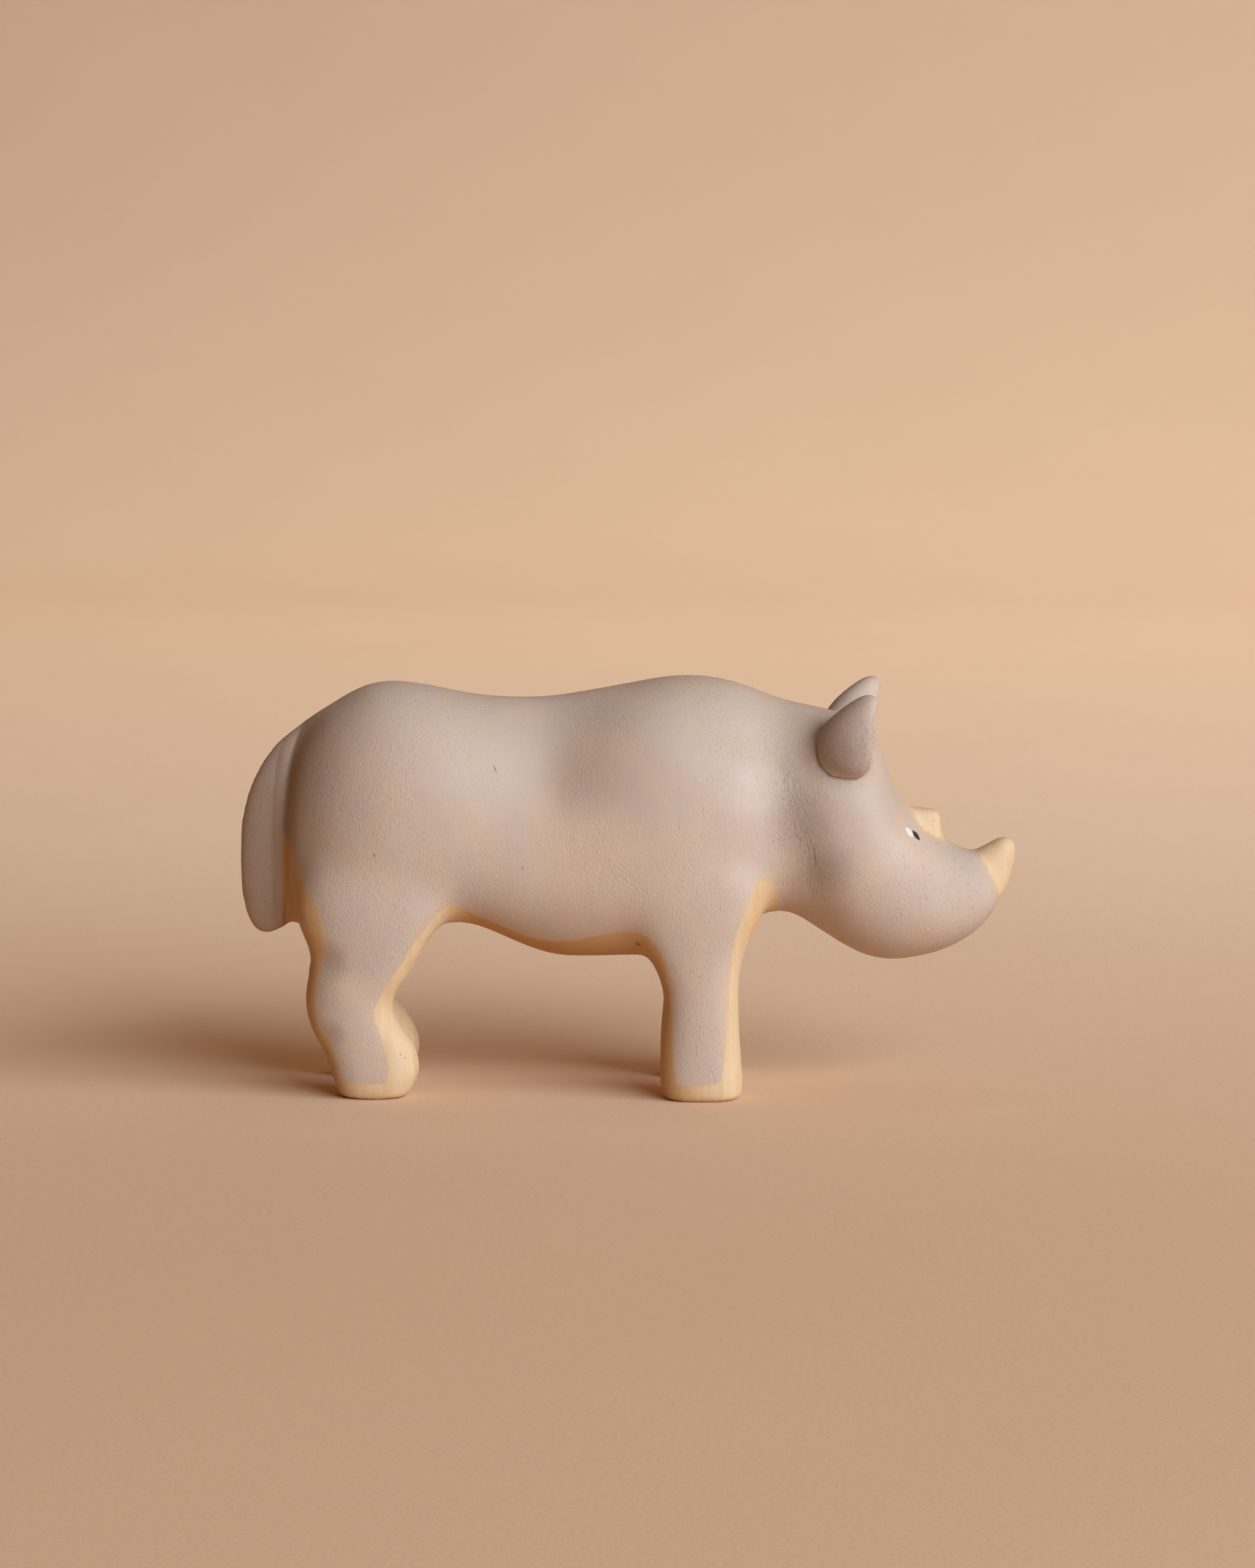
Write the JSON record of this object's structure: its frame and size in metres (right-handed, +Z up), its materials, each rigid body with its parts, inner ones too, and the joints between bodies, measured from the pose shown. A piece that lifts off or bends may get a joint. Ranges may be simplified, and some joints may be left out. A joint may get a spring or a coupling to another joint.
{
  "type": "rhinoceros figurine",
  "caption": "Small rhinoceros carved from solid wood, stained grey with bare-wood horns, belly and feet, standing on flat soles.",
  "frame": {"origin": "on the ground, under the middle of the figure's bounding box", "axes": "+X from the tail towards the head, +Y towards the animal's left side, +Z up"},
  "size_m": [0.16, 0.0418, 0.0854],
  "materials": {
    "wood": "matt grey stain with bare pale wood at the horns, feet, inner legs and belly"
  },
  "bodies": {
    "root": {"rhinoceros": "wood"}
  },
  "joints": []
}
